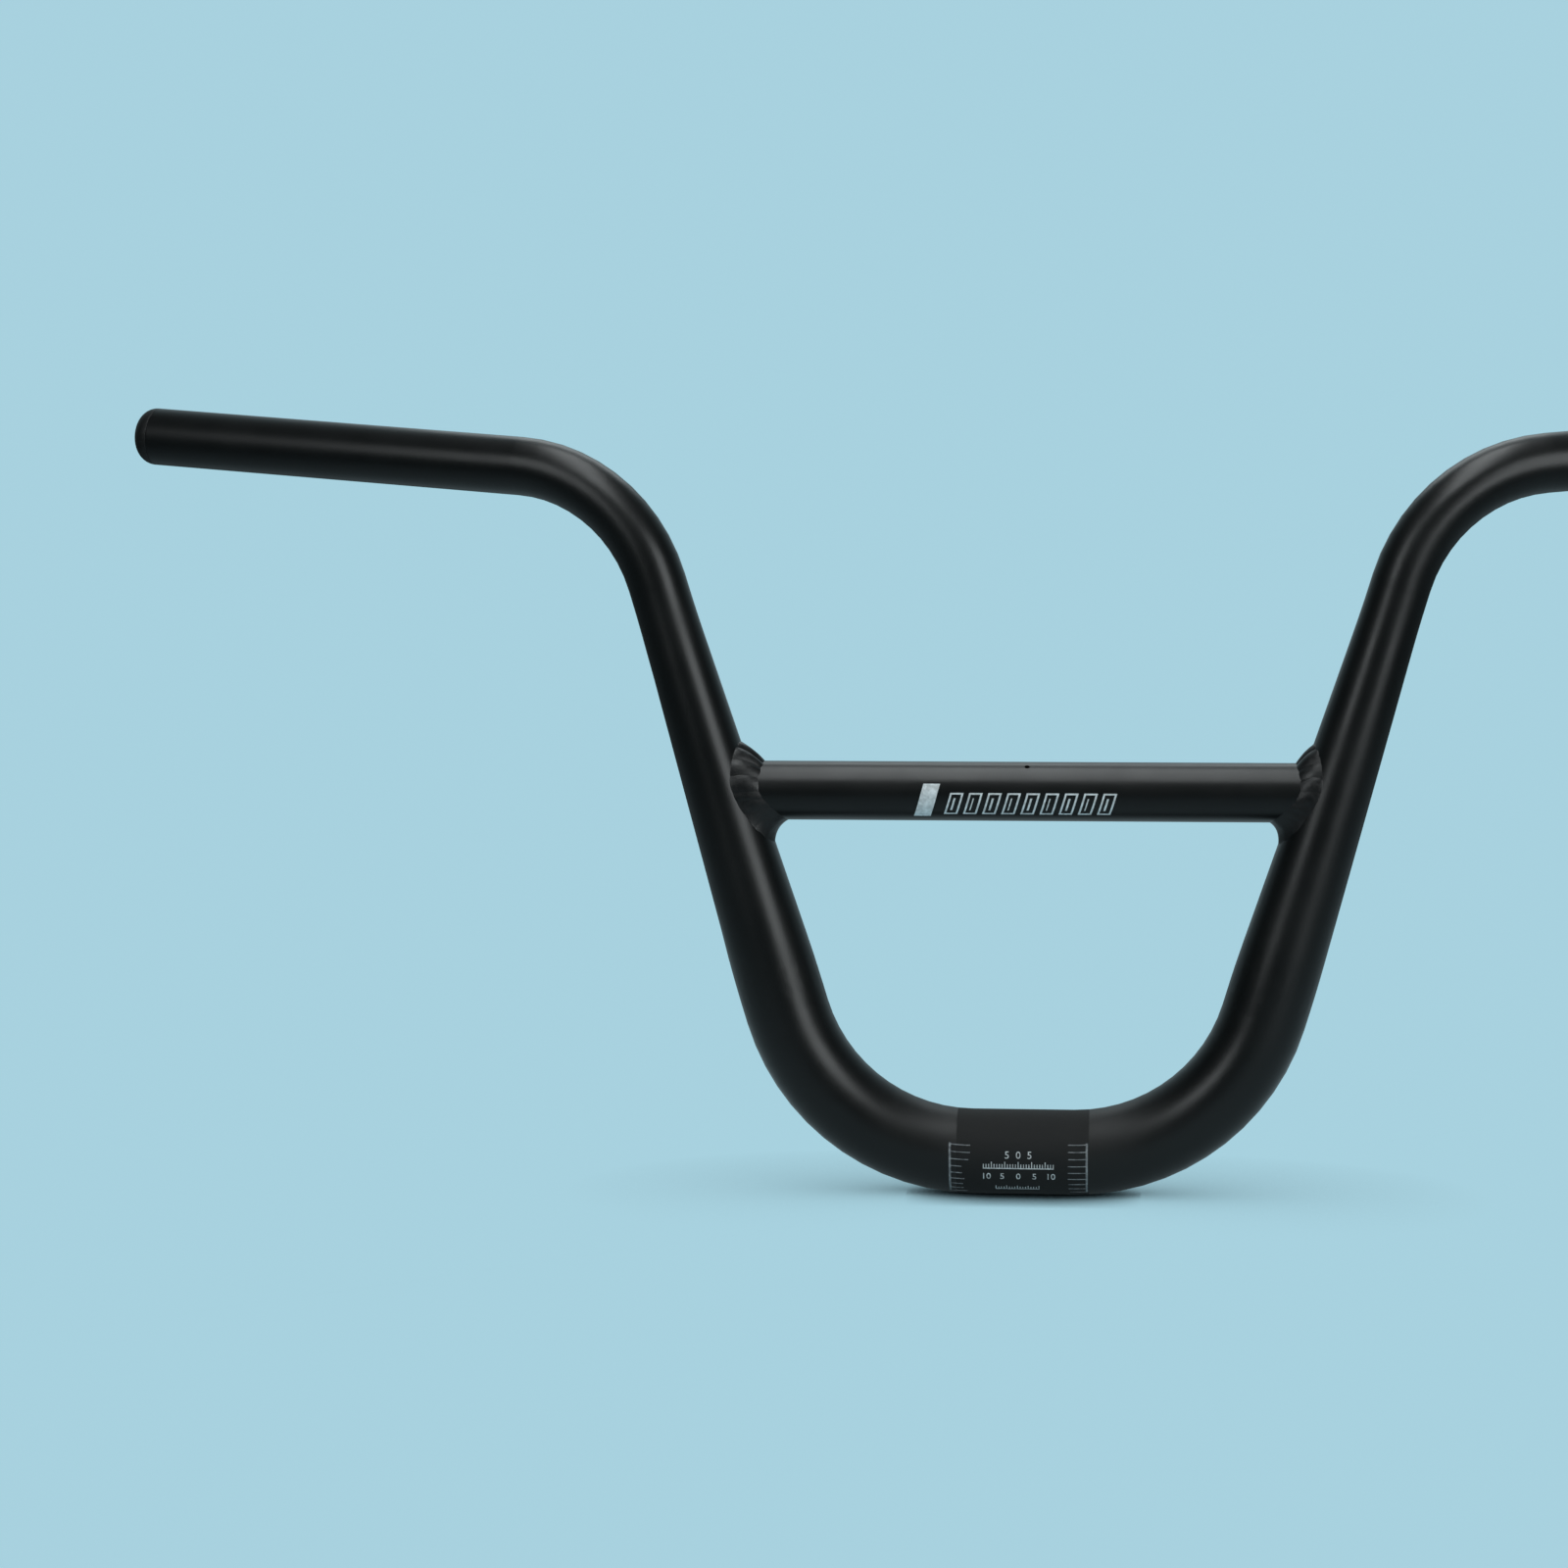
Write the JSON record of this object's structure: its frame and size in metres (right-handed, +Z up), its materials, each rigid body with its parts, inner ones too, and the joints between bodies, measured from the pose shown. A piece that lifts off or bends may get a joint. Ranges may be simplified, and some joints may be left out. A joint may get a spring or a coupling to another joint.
{
  "type": "riser handlebar",
  "caption": "Black butted aluminium riser handlebar with tapered legs, swept grips and a crossbar welded between the legs.",
  "frame": {"origin": "middle of the stem clamp seat, on its axis", "axes": "+X along the clamp seat, which is the axle that a stem grips, +Y back along the sweep of the grips, towards the rider, +Z up along the rise of the legs"},
  "size_m": [0.7036, 0.0751, 0.2985],
  "materials": {
    "tube_finish": "satin black anodised aluminium",
    "weld_finish": "satin black anodised aluminium weld bead",
    "plug_plastic": "fine-grained black polyethylene"
  },
  "bodies": {
    "root": {"main_tube": "tube_finish", "crossbar": "tube_finish", "left_weld": "weld_finish", "right_weld": "weld_finish", "left_end_plug": "plug_plastic", "right_end_plug": "plug_plastic"}
  },
  "joints": []
}
